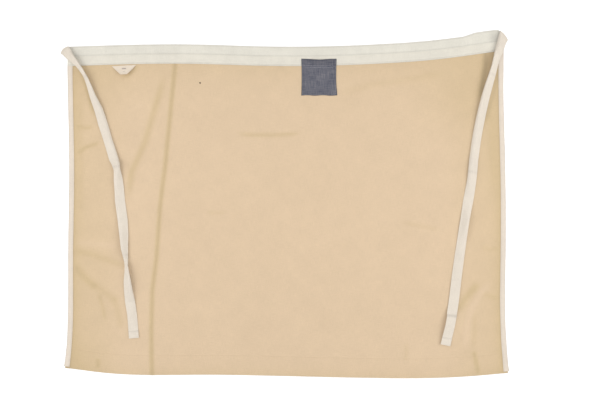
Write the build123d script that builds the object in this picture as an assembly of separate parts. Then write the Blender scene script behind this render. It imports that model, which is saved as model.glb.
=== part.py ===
"""Long half apron in cotton twill, laid flat with its front side up.

The frame: X runs along the waistband, Y from the hem up to the waistband, and Z up from the
surface that the apron lies on. The origin is under the middle of the apron. Units are mm.

Every layer of cloth is a flat solid of the cloth's thickness. From the surface up they are the
back layer (hem, backs of the bindings and of the waistband), the panel, the front layer, then
the waist tape, and the two ties over all of it.
"""

from build123d import *
import math
import os

# Cloth and thread
CLOTH = 0.5  # one layer of twill, binding or waistband cotton
TAPE = 0.7  # the thicker herringbone tape of the waist and the ties
THREAD = 0.25  # how far a row of stitches stands out of the cloth
THREAD_WIDTH = 0.5
CLEARANCE = 0.6  # from the waist tape up to a tie that lies over it

# Heights of the layers above the surface
PANEL_Z = CLOTH
FRONT_Z = PANEL_Z + CLOTH
TAPE_Z = FRONT_Z + CLOTH
TIE_Z = TAPE_Z + TAPE + CLEARANCE
HINGE_Z = TAPE_Z + TAPE + CLEARANCE / 2

# Widths of the sewn pieces
BAND_WIDTH = 46.0
BAND_OVERLAP = 35.0  # how far the panel's top edge reaches up inside the waistband
TAPE_WIDTH = 24.0
BINDING_WIDTH = 11.5
EDGE_FOLD = 2.0  # from the fold of a side binding to the panel's raw edge
HEM_DEPTH = 48.0

# Rows of stitches, from the edge that they follow
ROW_INSET = 2.0
BAND_ROW_INSET = 3.0
ANCHOR_INSET = 8.0
TIE_HEM = 17.0

# The outline of the apron as it lies: the middle of the waistband, the hem and the two sides.
# Each line runs on past the corners, and the pieces are cut where the lines cross.
WAIST_LINE = [
    (-580, 353.5), (-512, 355.5), (-420, 358.5), (-205, 360.5), (-70, 356.5),
    (105, 356.5), (230, 361.5), (365, 371.5), (440, 381), (515, 391.5), (580, 399),
]
HEM_LINE = [
    (-580, -386), (-528, -391), (-430, -403), (-357, -407.5), (-203, -407.5), (-50, -409.5),
    (195, -415), (300, -416), (445, -411), (536, -403), (580, -399),
]
LEFT_SIDE = [
    (-521, 430), (-520, 290), (-516.5, 75), (-519, -130), (-519, -240), (-523.5, -350), (-532, -425),
]
RIGHT_SIDE = [(527, 430), (524, 300), (527, 150), (529.5, -100), (529, -290), (538.5, -425)]

# The ties, from the fold at a top corner to the free end, and the angle of each fold line
LEFT_TIE_ROUTE = [
    (-526.5, 367), (-487, 331), (-456, 256), (-424, 158), (-396, 52),
    (-388, -62), (-376, -160), (-367.5, -250), (-362, -320),
]
RIGHT_TIE_ROUTE = [
    (524.5, 404.7), (507, 356), (490, 291), (466, 186), (453, 84),
    (429, -42), (414, -154), (402, -262), (386, -337),
]
LEFT_FOLD_ANGLE = 53.0
RIGHT_FOLD_ANGLE = -50.0
FOLD_GAP = 0.2  # each side of a fold line

# The patch pocket
POCKET_WIDTH = 84.0
POCKET_HEIGHT = 87.5
POCKET_X = 82.0
POCKET_TOP = 349.5
POCKET_MARGIN = 4.0  # sewn margin at the sides
POCKET_FOOT = 8.0  # sewn margin at the bottom
POCKET_GAPE = 6.5  # how far the mouth stands open in its middle
POCKET_BELLY = 5.6
POCKET_TOE = 0.8
BELLY_DROP = 45.0  # from the mouth down to the belly
MOUTH_ROWS = (17.0, 21.0)  # the two rows of the mouth hem, below the mouth

# The label tab under the waistband
LABEL_CENTRE_X = -385.5
LABEL_TOP_Y = 333.3
LABEL_TOP_WIDTH = 58.0
LABEL_FOOT_WIDTH = 15.0
LABEL_DROP = 22.0
LABEL_TILT = 3.0
LABEL_Z = FRONT_Z + 0.3
LABEL_THICKNESS = 0.6

SAMPLES = 25  # points along a line that is set off from another
TALL = 20.0  # height of a cutting block
WIDE = 80.0  # reach of a cutting block beside a fold line


def set_off(points, distance):
    """A smooth line through the points, moved to its left by distance."""
    line = Spline(*points)
    moved = []
    for i in range(SAMPLES):
        along = i / (SAMPLES - 1)
        place = line @ along
        heading = line % along
        moved.append((place.X - heading.Y * distance, place.Y + heading.X * distance))
    return Spline(*moved)


def area_between(first, second, bottom, height):
    """A flat solid between two lines that run the same way."""
    start = Line(first @ 0, second @ 0)
    end = Line(first @ 1, second @ 1)
    face = make_face([first, end, second, start])
    return Pos(0, 0, bottom) * extrude(face, amount=height, dir=(0, 0, 1))


def strip(points, low, high, bottom, height):
    """A flat solid along a line, from low to high to the left of it."""
    return area_between(set_off(points, low), set_off(points, high), bottom, height)


def stitch_row(points, distance, bottom):
    """A row of stitches beside a line."""
    half = THREAD_WIDTH / 2
    return strip(points, distance - half, distance + half, bottom, THREAD)


def from_side_to_side(inset):
    """A tall block between the apron's two sides, moved in by inset."""
    left = set_off(LEFT_SIDE, inset)
    right = set_off(RIGHT_SIDE, -inset)
    return area_between(left, right, -TALL / 2, TALL)


def below_waistband():
    """A tall block from the hem up to the waistband's lower edge."""
    return area_between(set_off(HEM_LINE, 0), set_off(WAIST_LINE, -BAND_WIDTH / 2), -TALL / 2, TALL)


def apron_panel():
    """The twill panel, its top edge inside the waistband and its hem turned to the back."""
    top = set_off(WAIST_LINE, BAND_OVERLAP - BAND_WIDTH / 2)
    cloth = area_between(set_off(HEM_LINE, 0), top, PANEL_Z, CLOTH) & from_side_to_side(EDGE_FOLD)
    hem = strip(HEM_LINE, 0, HEM_DEPTH, 0, CLOTH) & from_side_to_side(BINDING_WIDTH)
    return cloth + hem


def waistband(panel):
    """The cotton band, folded over the panel's top edge."""
    block = strip(WAIST_LINE, -BAND_WIDTH / 2, BAND_WIDTH / 2, 0, TAPE_Z)
    return (block & from_side_to_side(0)) - panel


def side_binding(side, inward, panel):
    """The cotton binding, folded over one raw side of the panel."""
    edges = sorted((0, inward * BINDING_WIDTH))
    block = strip(side, edges[0], edges[1], 0, TAPE_Z)
    return (block & below_waistband()) - panel


def past_fold(start, angle, inset):
    """A tall block outside a fold line, which it passes by inset."""
    block = Box(2 * WIDE, WIDE, TALL, align=(Align.CENTER, Align.MIN, Align.CENTER))
    return Pos(start[0], start[1], 0) * Rot(0, 0, angle) * Pos(0, -inset, 0) * block


def between_folds(shape, inset):
    """What is left of a shape between the two fold lines, each moved in by inset."""
    past_left = past_fold(LEFT_TIE_ROUTE[0], LEFT_FOLD_ANGLE, inset)
    past_right = past_fold(RIGHT_TIE_ROUTE[0], RIGHT_FOLD_ANGLE, inset)
    return shape - past_left - past_right


def waist_tape():
    """The middle of the tape, sewn along the waistband's upper half, out to both fold lines."""
    high = BAND_WIDTH / 2
    return between_folds(strip(WAIST_LINE, high - TAPE_WIDTH, high, TAPE_Z, TAPE), FOLD_GAP)


def tie_path(route):
    """Straight runs joined by tangent arcs, each as large as its two runs allow."""
    radii = []
    for before, corner, after in zip(route, route[1:], route[2:]):
        first = Vector(*corner) - Vector(*before)
        second = Vector(*after) - Vector(*corner)
        half_turn = math.radians(first.get_angle(second)) / 2
        radii.append(0.45 * min(first.length, second.length) / math.tan(half_turn))
    return FilletPolyline(*route, radius=radii)


def tie(route, fold_angle):
    """One free end of the tape, lying over the apron, cut where it folds at the top corner."""
    heading = (Vector(*route[1]) - Vector(*route[0])).normalized()
    start = Vector(*route[0]) - heading * TAPE_WIDTH
    path = tie_path([(start.X, start.Y)] + route[1:])
    middle = TIE_Z + TAPE / 2
    section = Plane(path @ 0, x_dir=(0, 0, 1), z_dir=path % 0) * Rectangle(TAPE, TAPE_WIDTH)
    whole = Pos(0, 0, middle) * sweep(section, path=path)
    return whole - past_fold(route[0], fold_angle, FOLD_GAP)


def tie_end_row(route):
    """The row of stitches across a tie's turned end."""
    heading = (Vector(*route[-1]) - Vector(*route[-2])).normalized()
    place = Vector(*route[-1]) - heading * TIE_HEM
    turn = math.degrees(math.atan2(heading.Y, heading.X))
    standing = (Align.CENTER, Align.CENTER, Align.MIN)
    row = Box(THREAD_WIDTH, TAPE_WIDTH - 2 * ROW_INSET, THREAD, align=standing)
    return Pos(place.X, place.Y, TIE_Z + TAPE) * Rot(0, 0, turn) * row


def anchor_row(side, inward):
    """The rows across the waist tape at one end of the waistband."""
    tape_top = TAPE_Z + TAPE
    first = stitch_row(side, inward * ANCHOR_INSET, tape_top)
    second = stitch_row(side, inward * (ANCHOR_INSET + BAND_ROW_INSET), tape_top)
    rows = first + second
    low = BAND_WIDTH / 2 - TAPE_WIDTH + 2 * ROW_INSET
    high = BAND_WIDTH / 2 - 2 * ROW_INSET
    return rows & strip(WAIST_LINE, low, high, 0, TALL)


def arch(drop, half_width, rise, foot):
    """A section across the pocket, drop below its mouth: a low arch on a straight base."""
    y = POCKET_TOP - drop
    left = (POCKET_X - half_width, y, foot)
    right = (POCKET_X + half_width, y, foot)
    crown = (POCKET_X, y, foot + rise)
    return make_face([ThreePointArc(left, crown, right), Line(right, left)])


def pocket_bulge(extra, start):
    """The space in the pocket, or with extra its cloth's outer face."""
    half = POCKET_WIDTH / 2 - POCKET_MARGIN + extra
    end = POCKET_HEIGHT - POCKET_FOOT + extra
    sections = [
        arch(start, half, POCKET_GAPE + extra, FRONT_Z),
        arch(BELLY_DROP, half, POCKET_BELLY + extra, FRONT_Z),
        arch(end, half, POCKET_TOE + extra, FRONT_Z),
    ]
    return loft(sections, ruled=True)


def pocket(band, band_row):
    """The chambray patch pocket: sewn down on three sides, its mouth slightly open."""
    margin_top = 2 * CLOTH
    plate = Pos(POCKET_X, POCKET_TOP, FRONT_Z) * Box(
        POCKET_WIDTH, POCKET_HEIGHT, margin_top, align=(Align.CENTER, Align.MAX, Align.MIN)
    )
    cloth = plate + pocket_bulge(CLOTH, 0)
    return cloth - pocket_bulge(0, -1) - band - band_row


def pocket_seam_rows():
    """The row of stitches down both sides of the pocket and across its bottom."""
    side = POCKET_WIDTH / 2 - ROW_INSET
    low = POCKET_HEIGHT - ROW_INSET
    corners = [(-side, 0), (-side, -low), (side, -low), (side, 0)]
    path = Polyline(*[(POCKET_X + x, POCKET_TOP + y) for x, y in corners])
    row = make_face(offset(path, THREAD_WIDTH / 2, kind=Kind.INTERSECTION, side=Side.BOTH).edges())
    return Pos(0, 0, FRONT_Z + 2 * CLOTH) * extrude(row, amount=THREAD, dir=(0, 0, 1))


def pocket_mouth_rows(pocket_cloth):
    """The two rows that hold the pocket's mouth hem."""
    outer = pocket_bulge(CLOTH, 0)
    standing = (Align.CENTER, Align.CENTER, Align.MIN)
    rows = Part()
    for drop in MOUTH_ROWS:
        slab = Pos(POCKET_X, POCKET_TOP - drop, FRONT_Z) * Box(
            POCKET_WIDTH - 4 * POCKET_MARGIN, THREAD_WIDTH, TALL, align=standing
        )
        rows += (Pos(0, 0, THREAD) * outer & slab) - outer - pocket_cloth
    return rows


def label():
    """The label tab: a short cotton tape with both lower corners turned under."""
    top = LABEL_TOP_WIDTH / 2
    foot = LABEL_FOOT_WIDTH / 2
    outline = Polyline((-top, 0), (top, 0), (foot, -LABEL_DROP), (-foot, -LABEL_DROP), close=True)
    tab = extrude(make_face(outline.edges()), amount=LABEL_THICKNESS, dir=(0, 0, 1))
    return Pos(LABEL_CENTRE_X, LABEL_TOP_Y, LABEL_Z) * Rot(0, 0, LABEL_TILT) * tab


def build():
    """Every node by name."""
    low, high = -BAND_WIDTH / 2, BAND_WIDTH / 2
    between_sides = from_side_to_side(ROW_INSET)
    between_bindings = from_side_to_side(BINDING_WIDTH)
    panel = apron_panel()
    band = waistband(panel)
    band_row = stitch_row(WAIST_LINE, low + BAND_ROW_INSET, TAPE_Z) & between_sides
    pocket_cloth = pocket(band, band_row)
    tape_top = TAPE_Z + TAPE
    left_row = stitch_row(LEFT_SIDE, BINDING_WIDTH - ROW_INSET, TAPE_Z)
    right_row = stitch_row(RIGHT_SIDE, ROW_INSET - BINDING_WIDTH, TAPE_Z)
    upper_row = stitch_row(WAIST_LINE, high - ROW_INSET, tape_top) & between_sides
    lower_row = stitch_row(WAIST_LINE, high - TAPE_WIDTH + ROW_INSET, tape_top) & between_sides
    nodes = {
        "apron_panel": panel,
        "waistband": band,
        "waist_tape": waist_tape(),
        "left_side_binding": side_binding(LEFT_SIDE, 1, panel),
        "right_side_binding": side_binding(RIGHT_SIDE, -1, panel),
        "left_tie": tie(LEFT_TIE_ROUTE, LEFT_FOLD_ANGLE),
        "right_tie": tie(RIGHT_TIE_ROUTE, RIGHT_FOLD_ANGLE),
        "pocket": pocket_cloth,
        "label": label(),
        "waistband_stitching": band_row,
        "waist_tape_upper_stitching": between_folds(upper_row, ROW_INSET),
        "waist_tape_lower_stitching": between_folds(lower_row, ROW_INSET),
        "hem_stitching": stitch_row(HEM_LINE, HEM_DEPTH - ROW_INSET, FRONT_Z) & between_bindings,
        "left_binding_stitching": left_row & below_waistband(),
        "right_binding_stitching": right_row & below_waistband(),
        "pocket_seam_stitching": pocket_seam_rows(),
        "pocket_mouth_stitching": pocket_mouth_rows(pocket_cloth),
        "left_tie_anchor_stitching": anchor_row(LEFT_SIDE, 1),
        "right_tie_anchor_stitching": anchor_row(RIGHT_SIDE, -1),
        "left_tie_end_stitching": tie_end_row(LEFT_TIE_ROUTE),
        "right_tie_end_stitching": tie_end_row(RIGHT_TIE_ROUTE),
    }
    return nodes


os.makedirs("parts", exist_ok=True)
for name, shape in build().items():
    export_step(shape, f"parts/{name}.step")
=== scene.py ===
# A long half apron laid flat with its front up: its cloth, its tapes and its stitches

import bpy
import math
import numpy as np
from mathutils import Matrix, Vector, noise


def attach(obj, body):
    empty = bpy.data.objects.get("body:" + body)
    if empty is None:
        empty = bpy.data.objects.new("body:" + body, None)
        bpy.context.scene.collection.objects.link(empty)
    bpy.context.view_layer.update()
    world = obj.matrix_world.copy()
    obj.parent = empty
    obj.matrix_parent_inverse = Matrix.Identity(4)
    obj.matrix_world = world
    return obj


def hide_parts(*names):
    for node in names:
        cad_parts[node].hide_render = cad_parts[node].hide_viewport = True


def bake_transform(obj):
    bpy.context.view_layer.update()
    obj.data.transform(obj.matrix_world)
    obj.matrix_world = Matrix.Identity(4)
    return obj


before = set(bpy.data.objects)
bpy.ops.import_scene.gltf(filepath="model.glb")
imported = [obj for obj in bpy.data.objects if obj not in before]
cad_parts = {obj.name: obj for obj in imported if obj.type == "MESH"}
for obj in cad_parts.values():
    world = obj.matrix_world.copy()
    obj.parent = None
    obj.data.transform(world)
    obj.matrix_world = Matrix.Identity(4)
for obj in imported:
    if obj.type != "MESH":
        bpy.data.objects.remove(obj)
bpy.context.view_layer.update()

# ---------------------------------------------------------------- the design's lines, in metres

MM = 0.001
CLOTH = 0.45 * MM  # thickness of the twill and of the waistband cotton
TAPE = 0.6 * MM
TAPE_WIDTH = 24 * MM
BAND_HALF = 23 * MM
BINDING_WIDTH = 11.5 * MM
HEM_DEPTH = 48 * MM
PLY = 0.6 * MM  # from the middle of one layer of cloth to the middle of the next
GAP = 0.05 * MM  # air between two surfaces that lie on each other

# Rows of stitches
BAND_ROW = -20 * MM  # from the middle line of the waistband
TAPE_ROWS = (2 * MM, 22 * MM)  # from the top edge of the waist tape
HEM_ROW = HEM_DEPTH - 2 * MM  # from the hem's edge
BINDING_ROW = BINDING_WIDTH - 2 * MM  # from the apron's side
ANCHOR_ROWS = (8 * MM, 11 * MM)  # from the apron's side
MOUTH_ROWS = (17 * MM, 21 * MM)  # from the pocket's mouth
TIE_HEM = 17 * MM  # from a tie's end
STITCH_PITCH = 3.0 * MM

WAIST_LINE = [
    (-0.580, 0.3535), (-0.512, 0.3555), (-0.420, 0.3585), (-0.205, 0.3605), (-0.070, 0.3565),
    (0.105, 0.3565), (0.230, 0.3615), (0.365, 0.3715), (0.440, 0.381), (0.515, 0.3915), (0.580, 0.399),
]
HEM_LINE = [
    (-0.580, -0.386), (-0.528, -0.391), (-0.430, -0.403), (-0.357, -0.4075), (-0.203, -0.4075),
    (-0.050, -0.4095), (0.195, -0.415), (0.300, -0.416), (0.445, -0.411), (0.536, -0.403), (0.580, -0.399),
]
LEFT_SIDE = [
    (-0.521, 0.430), (-0.520, 0.290), (-0.5165, 0.075), (-0.519, -0.130), (-0.519, -0.240),
    (-0.5235, -0.350), (-0.532, -0.425),
]
RIGHT_SIDE = [
    (0.527, 0.430), (0.524, 0.300), (0.527, 0.150), (0.5295, -0.100), (0.529, -0.290), (0.5385, -0.425),
]
LEFT_TIE_ROUTE = [
    (-0.5265, 0.367), (-0.487, 0.331), (-0.456, 0.256), (-0.424, 0.158), (-0.396, 0.052),
    (-0.388, -0.062), (-0.376, -0.160), (-0.3675, -0.250), (-0.362, -0.320),
]
RIGHT_TIE_ROUTE = [
    (0.5245, 0.4047), (0.507, 0.356), (0.490, 0.291), (0.466, 0.186), (0.453, 0.084),
    (0.429, -0.042), (0.414, -0.154), (0.402, -0.262), (0.386, -0.337),
]
LEFT_CORNER, RIGHT_CORNER = LEFT_TIE_ROUTE[0], RIGHT_TIE_ROUTE[0]
LEFT_FOLD_ANGLE = 53.0
RIGHT_FOLD_ANGLE = -50.0


# ---------------------------------------------------------------- camera, light and floor


def set_camera():
    """Straight above the apron, a little to its right and towards the hem."""
    data = bpy.data.cameras.new("camera")
    data.lens = 50
    data.sensor_width = 36
    camera = bpy.data.objects.new("camera", data)
    camera.location = (0.0366, -0.0128, 2.0)
    bpy.context.scene.collection.objects.link(camera)
    bpy.context.scene.camera = camera


def soft_light(name, place, aim, size, power):
    """A large soft box that faces a point."""
    data = bpy.data.lights.new(name, "AREA")
    data.shape = "RECTANGLE"
    data.size, data.size_y = size
    data.energy = power
    light = bpy.data.objects.new(name, data)
    light.location = place
    light.rotation_euler = (Vector(aim) - Vector(place)).to_track_quat("-Z", "Y").to_euler()
    bpy.context.scene.collection.objects.link(light)


def light_the_room():
    """Two soft boxes, left and right, and an even white room."""
    soft_light("left_softbox", (-1.9, 0.1, 1.15), (0.1, 0, 0), (1.4, 1.1), 20)
    soft_light("right_softbox", (1.9, 0.1, 1.15), (-0.1, 0, 0), (1.4, 1.1), 20)
    soft_light("overhead_softbox", (0.05, 0, 2.3), (0.05, 0, 0), (0.9, 0.9), 14)
    world = bpy.data.worlds.new("white_room")
    world.use_nodes = True
    back = world.node_tree.nodes["Background"]
    back.inputs["Color"].default_value = (1, 1, 1, 1)
    back.inputs["Strength"].default_value = 0.60
    bpy.context.scene.world = world
    bpy.context.scene.view_settings.view_transform = "Standard"


def lay_floor():
    """A plain white floor."""
    bpy.ops.mesh.primitive_plane_add(size=8, location=(0, 0, -GAP))
    floor = bpy.context.object
    floor.name = "floor"
    material = bpy.data.materials.new("white_floor")
    material.use_nodes = True
    shader = material.node_tree.nodes["Principled BSDF"]
    shader.inputs["Base Color"].default_value = (0.93, 0.93, 0.93, 1)
    shader.inputs["Roughness"].default_value = 1
    shader.inputs["Specular IOR Level"].default_value = 0
    shader.inputs["Emission Color"].default_value = (1, 1, 1, 1)
    shader.inputs["Emission Strength"].default_value = 0.12
    floor.data.materials.append(material)


set_camera()


# ---------------------------------------------------------------- lines and heights


def smooth_line(knots, step=2 * MM):
    """Even points along a smooth line through the knots."""
    knots = np.array(knots, float)
    gaps = np.linalg.norm(np.diff(knots, axis=0), axis=1)
    at = np.concatenate([[0], np.cumsum(gaps)])
    count = len(knots)
    system = np.eye(count)
    bends = np.zeros_like(knots)
    for i in range(1, count - 1):
        system[i, i - 1 : i + 2] = gaps[i - 1], 2 * (gaps[i - 1] + gaps[i]), gaps[i]
        bends[i] = 6 * ((knots[i + 1] - knots[i]) / gaps[i] - (knots[i] - knots[i - 1]) / gaps[i - 1])
    curve = np.linalg.solve(system, bends)
    t = np.linspace(0, at[-1], int(at[-1] / step) + 2)
    i = np.clip(np.searchsorted(at, t, side="right") - 1, 0, count - 2)
    gap = gaps[i][:, None]
    a, b = (at[i + 1] - t)[:, None], (t - at[i])[:, None]
    return (
        (curve[i] * a**3 + curve[i + 1] * b**3) / (6 * gap)
        + (knots[i] / gap - curve[i] * gap / 6) * a
        + (knots[i + 1] / gap - curve[i + 1] * gap / 6) * b
    )


def lengths(line):
    """How far along a line each of its points is."""
    return np.concatenate([[0], np.cumsum(np.linalg.norm(np.diff(line, axis=0), axis=1))])


def resample(line, count):
    """The line again, with count even points."""
    far = lengths(line)
    at = np.linspace(0, far[-1], count)
    return np.stack([np.interp(at, far, line[:, k]) for k in range(line.shape[1])], axis=1)


def left_normals(line):
    """The direction to the left of a flat line at each of its points."""
    heading = np.gradient(line[:, :2], axis=0)
    heading /= np.linalg.norm(heading, axis=1)[:, None]
    return np.stack([-heading[:, 1], heading[:, 0]], axis=1)


def set_off(line, distance):
    """The line, moved to its left."""
    return line + left_normals(line) * distance


def clip_line(line, inside, count, margin=0.0):
    """count even points along the stretch of a line that is more than the margin inside."""
    depth = inside(line) - margin
    held = np.flatnonzero(depth > 0)
    first, last = held[0], held[-1]
    points = line[first : last + 1]
    if first > 0:
        share = depth[first] / (depth[first] - depth[first - 1])
        points = np.vstack([line[first] + (line[first - 1] - line[first]) * share, points])
    if last < len(line) - 1:
        share = depth[last] / (depth[last] - depth[last + 1])
        points = np.vstack([points, line[last] + (line[last + 1] - line[last]) * share])
    return resample(points, count)


WAIST = smooth_line(WAIST_LINE)
HEM = smooth_line(HEM_LINE)
LEFT = smooth_line(LEFT_SIDE)
RIGHT = smooth_line(RIGHT_SIDE)


def waist_y(x):
    return np.interp(x, WAIST[:, 0], WAIST[:, 1])


def hem_y(x):
    return np.interp(x, HEM[:, 0], HEM[:, 1])


def left_x(y):
    return np.interp(y, LEFT[::-1, 1], LEFT[::-1, 0])


def right_x(y):
    return np.interp(y, RIGHT[::-1, 1], RIGHT[::-1, 0])


def ease(value, low, high):
    """0 below low, 1 above high, and smooth between them."""
    t = np.clip((value - low) / (high - low), 0, 1)
    return t * t * (3 - 2 * t)


def bell(distance, reach):
    """1 at no distance, and falling away smoothly on both sides over the reach."""
    return np.exp(-((distance / reach) ** 2))


def fade(distance, reach):
    """1 at no distance and before it, and falling away over the reach."""
    return np.exp(-np.clip(distance, 0, None) / reach)


def from_sides(x, y):
    """How far inside the apron's two sides a place is."""
    return np.minimum(x - left_x(y), right_x(y) - x)


def band_edge(x):
    """The waistband's lower edge."""
    return waist_y(x) - BAND_HALF


def between_sides(line):
    """How far inside the apron's two sides a line's points are."""
    return from_sides(line[:, 0], line[:, 1])


def between_hem_and_band(line):
    """How far above the hem's edge and below the waistband a line's points are."""
    return np.minimum(line[:, 1] - hem_y(line[:, 0]), band_edge(line[:, 0]) - line[:, 1])


def inside_fold(line, corner, angle):
    """How far on the apron's side of a corner's fold line a line's points are."""
    along = math.radians(angle)
    return (line - np.array(corner)) @ np.array([math.sin(along), -math.cos(along)])


def inside_both_folds(line):
    """How far a line's points are from the two folds where the waist tape turns into the ties."""
    left = inside_fold(line, LEFT_CORNER, LEFT_FOLD_ANGLE)
    right = inside_fold(line, RIGHT_CORNER, RIGHT_FOLD_ANGLE)
    return np.minimum(left, right)


def gather(x, y):
    """How far up the tape is drawn at the left corner, where it bunches as it folds."""
    along = math.radians(LEFT_FOLD_ANGLE)
    across = (y - LEFT_CORNER[1]) * math.cos(along) - (x - LEFT_CORNER[0]) * math.sin(along)
    top = np.interp(x, *set_off(WAIST, BAND_HALF).T)
    near = (1 - ease(np.abs(across), 0, 20 * MM)) * (x < -0.49)
    return 0.28 * near * np.clip(top - y, 0, TAPE_WIDTH * 1.2)


def drift(x, y, size, seed):
    """Smooth noise between about -1 and 1, with features of that size."""
    flat_x, flat_y = np.ravel(x) / size, np.ravel(y) / size
    values = [noise.noise(Vector((a, b, seed))) for a, b in zip(flat_x, flat_y)]
    return np.array(values).reshape(np.shape(x))


def near_route(x, y, route):
    """The distance from a route of straight runs, and how far along it the nearest point is, 0 to 1."""
    route = np.array(route, float)
    far = lengths(route)
    best = np.full(np.shape(x), np.inf)
    place = np.zeros(np.shape(x))
    for i, (a, b) in enumerate(zip(route[:-1], route[1:])):
        run = b - a
        t = np.clip(((x - a[0]) * run[0] + (y - a[1]) * run[1]) / (run @ run), 0, 1)
        distance = np.hypot(x - a[0] - t * run[0], y - a[1] - t * run[1])
        closer = distance < best
        best = np.where(closer, distance, best)
        place = np.where(closer, (far[i] + t * math.sqrt(run @ run)) / far[-1], place)
    return best, place


PRESS_CREASE = [
    (-0.2625, 0.390), (-0.2634, 0.330), (-0.2764, 0.197), (-0.2870, 0.090), (-0.2956, 0.026),
    (-0.2994, -0.010), (-0.3076, -0.128), (-0.3172, -0.202), (-0.3200, -0.298), (-0.3186, -0.412),
]

# Creases and wrinkles: route, half width and height in mm, how sharp (1 is a pressed line, 2 a
# soft fold), and how much painted shade darkens the cloth along it (below 0 it is a painted highlight)
WRINKLES_AND_PAINTED_SHADOWS = [
    (PRESS_CREASE, 5.6, 1.8, 1, 0.155),
    (
        [(-0.284, 0.322), (-0.316, 0.215), (-0.335, 0.150), (-0.367, 0.078), (-0.378, 0.000)],
        8.0, 2.2, 2, 0.10,
    ),
    ([(-0.262, 0.320), (-0.240, 0.230), (-0.215, 0.150)], 16.0, 1.2, 2, 0.0),
    ([(-0.120, 0.171), (-0.075, 0.167), (-0.020, 0.167), (0.045, 0.171)], 3.4, 1.5, 2, 0.09),
    ([(-0.020, 0.178), (0.040, 0.186), (0.090, 0.200)], 4.0, 0.8, 2, 0.0),
    ([(-0.190, -0.017), (-0.165, -0.020), (-0.138, -0.018)], 4.0, 0.8, 2, 0.035),
    ([(0.278, -0.041), (0.325, -0.050), (0.376, -0.062)], 5.0, 1.2, 2, 0.035),
    ([(-0.504, 0.190), (-0.480, 0.184), (-0.458, 0.187)], 3.5, 1.2, 2, 0.07),
    ([(-0.500, 0.120), (-0.478, 0.137), (-0.442, 0.149)], 3.5, 1.6, 2, 0.09),
    ([(-0.525, -0.108), (-0.465, -0.118), (-0.420, -0.134), (-0.370, -0.152)], 8.0, 1.2, 2, 0.055),
    ([(-0.510, -0.088), (-0.450, -0.094), (-0.390, -0.100)], 8.0, 0.5, 2, -0.03),
    ([(-0.510, -0.142), (-0.485, -0.170), (-0.466, -0.187), (-0.448, -0.202)], 8.0, 1.6, 2, 0.09),
    ([(-0.466, -0.187), (-0.425, -0.215), (-0.400, -0.235)], 8.0, 1.0, 2, 0.05),
    ([(-0.448, -0.208), (-0.438, -0.240), (-0.430, -0.280)], 4.5, 1.4, 2, 0.06),
    ([(-0.412, -0.215), (-0.400, -0.255), (-0.390, -0.300)], 9.0, 0.5, 2, 0.05),
    (
        [(0.4325, -0.355), (0.4345, -0.300), (0.4445, -0.257), (0.4665, -0.215), (0.500, -0.180)],
        8.0, 1.8, 2, -0.05,
    ),
    ([(0.410, -0.262), (0.432, -0.225), (0.468, -0.184)], 9.0, 0.6, 2, 0.10),
    ([(0.470, -0.212), (0.500, -0.222), (0.530, -0.222)], 6.0, 0.8, 2, 0.05),
    ([(0.4545, -0.255), (0.4560, -0.300), (0.4530, -0.350)], 5.0, 0.6, 2, 0.035),
    ([(0.452, -0.346), (0.459, -0.378), (0.465, -0.410)], 3.0, 1.6, 1, 0.12),
    ([(0.290, -0.330), (0.291, -0.352), (0.290, -0.378)], 3.0, 0.9, 2, 0.04),
    ([(-0.449, -0.368), (-0.447, -0.380), (-0.449, -0.394)], 2.6, 1.0, 2, 0.09),
    ([(0.400, 0.318), (0.300, 0.300), (0.200, 0.286), (0.120, 0.262)], 9.0, 1.4, 2, 0.03),
    ([(-0.400, 0.310), (-0.375, 0.262), (-0.340, 0.235)], 10.0, 1.0, 2, 0.0),
    ([(-0.372, 0.226), (-0.352, 0.236), (-0.336, 0.240)], 4.0, 1.0, 2, -0.02),
    ([(0.488, 0.280), (0.497, 0.150), (0.502, 0.020)], 9.0, 1.2, 2, 0.03),
    ([(0.470, -0.100), (0.492, -0.108), (0.516, -0.104)], 5.0, 1.0, 2, 0.04),
    # A painted shadow, not a wrinkle: the shade beside the right tie's raised top
    ([(0.485, 0.404), (0.480, 0.330), (0.474, 0.290), (0.466, 0.246)], 6.5, 0.0, 2, 0.19),
    ([(-0.488, 0.300), (-0.492, 0.210), (-0.489, 0.080), (-0.492, -0.050)], 7.0, 1.0, 2, 0.02),
    # The next three routes are painted shadows, not wrinkles: left of the left tie's top, right of the right
    # tie's top, and beside the label's lower edge
    (
        [(-0.498, 0.352), (-0.489, 0.325), (-0.480, 0.300), (-0.468, 0.255), (-0.455, 0.205)],
        4.8, 0.0, 2, 0.11,
    ),
    (
        [(0.5135, 0.350), (0.5105, 0.310), (0.5010, 0.270), (0.4920, 0.235), (0.4790, 0.185)],
        4.8, 0.0, 2, 0.09,
    ),
    ([(-0.350, 0.336), (-0.364, 0.320), (-0.378, 0.3085), (-0.396, 0.3085)], 4.8, 0.0, 2, 0.08),
]


# Broad patches of painted shade on the cloth: middle, reach along x and y in metres, and how much darker
PAINTED_SHADE_PLACES = [
    (0.410, 0.270, 0.090, 0.090, 0.050),
    (-0.500, -0.370, 0.060, 0.050, 0.045),
    (-0.400, 0.300, 0.110, 0.060, 0.020),
    (-0.470, -0.200, 0.060, 0.160, 0.012),
    (0.500, 0.120, 0.050, 0.140, 0.025),
]
SHADE_WIDTH = 4.8  # the painted shade along a route reaches at least this far to each side, in mm


def along_wrinkle(x, y, route, half_width, power):
    """1 on a wrinkle, falling to 0 beside it and, if it isn't the pressed crease, at its ends."""
    distance, place = near_route(x, y, route)
    ends = 1 if route is PRESS_CREASE else ease(place, 0, 0.2) * ease(1 - place, 0, 0.2)
    return ends * np.exp(-((distance / (half_width * MM)) ** power))


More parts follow.
